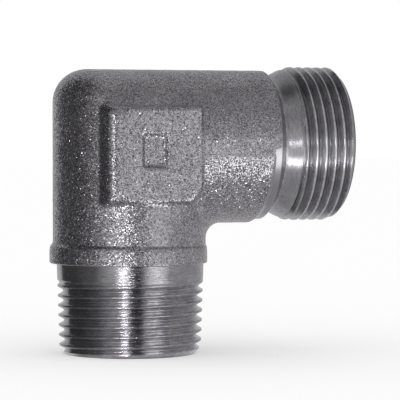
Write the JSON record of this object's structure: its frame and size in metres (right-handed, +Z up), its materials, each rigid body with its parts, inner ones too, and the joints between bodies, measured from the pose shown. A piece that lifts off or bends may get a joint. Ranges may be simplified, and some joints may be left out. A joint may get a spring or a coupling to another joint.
{
  "type": "hydraulic elbow adapter",
  "caption": "Forged steel hydraulic stud elbow: tapered male stud below, straight male tube end for a 16 mm tube to the side, wrench pads on the body.",
  "frame": {"origin": "centre of the flat end face of the tapered stud, where its flow bore opens", "axes": "+Z up the stud's axis to the bend, +X out along the tube arm, -Y out of the wrench pad with the bare recess"},
  "size_m": [0.0452, 0.0242, 0.0441],
  "materials": {
    "forged_steel": "shot-blasted forging with a dull grey plating, turned bright at both ends"
  },
  "bodies": {
    "root": {"elbow_body": "forged_steel"}
  },
  "joints": []
}
